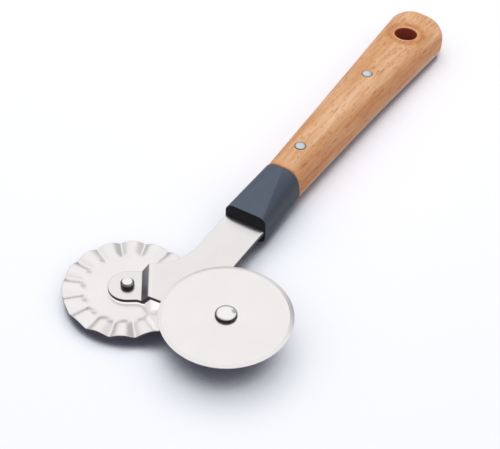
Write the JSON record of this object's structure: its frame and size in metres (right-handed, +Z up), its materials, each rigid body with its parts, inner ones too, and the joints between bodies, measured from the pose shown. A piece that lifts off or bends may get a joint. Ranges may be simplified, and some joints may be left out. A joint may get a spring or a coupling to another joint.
{
  "type": "double pastry wheel",
  "caption": "Double pastry wheel: a plain and a fluted steel wheel spin side by side on a forked steel plate with a wooden handle.",
  "frame": {"origin": "on the surface that the tool lies on, in the middle plane of the handle and halfway along the whole tool", "axes": "+Y runs from the wheels to the butt of the handle, +Z points up from the surface that the tool lies on, and +X points to the side of the plain wheel"},
  "size_m": [0.0848, 0.2151, 0.0179],
  "materials": {
    "beech": "oiled, satin",
    "slate_plastic": "matte, moulded",
    "satin_steel": "satin, finely brushed",
    "wheel_steel": "bright satin",
    "rivet_steel": "polished",
    "pin_aluminium": "satin"
  },
  "bodies": {
    "frame": {"handle": "beech", "ferrule": "slate_plastic", "fork_plate": "satin_steel", "plain_wheel_rivet": "rivet_steel", "fluted_wheel_rivet": "rivet_steel", "front_handle_pin": "pin_aluminium", "rear_handle_pin": "pin_aluminium"},
    "plain_wheel": {"plain_wheel": "wheel_steel"},
    "fluted_wheel": {"fluted_wheel": "wheel_steel"}
  },
  "joints": [
    {"name": "plain_wheel_spin", "type": "hinge", "parent": "frame", "child": "plain_wheel", "pos_m": [0.0199, -0.08505, 0.01385], "axis": [0, 0, 1], "continuous": true},
    {"name": "fluted_wheel_spin", "type": "hinge", "parent": "frame", "child": "fluted_wheel", "pos_m": [-0.0199, -0.08505, 0.00375], "axis": [0, 0, 1], "continuous": true}
  ]
}
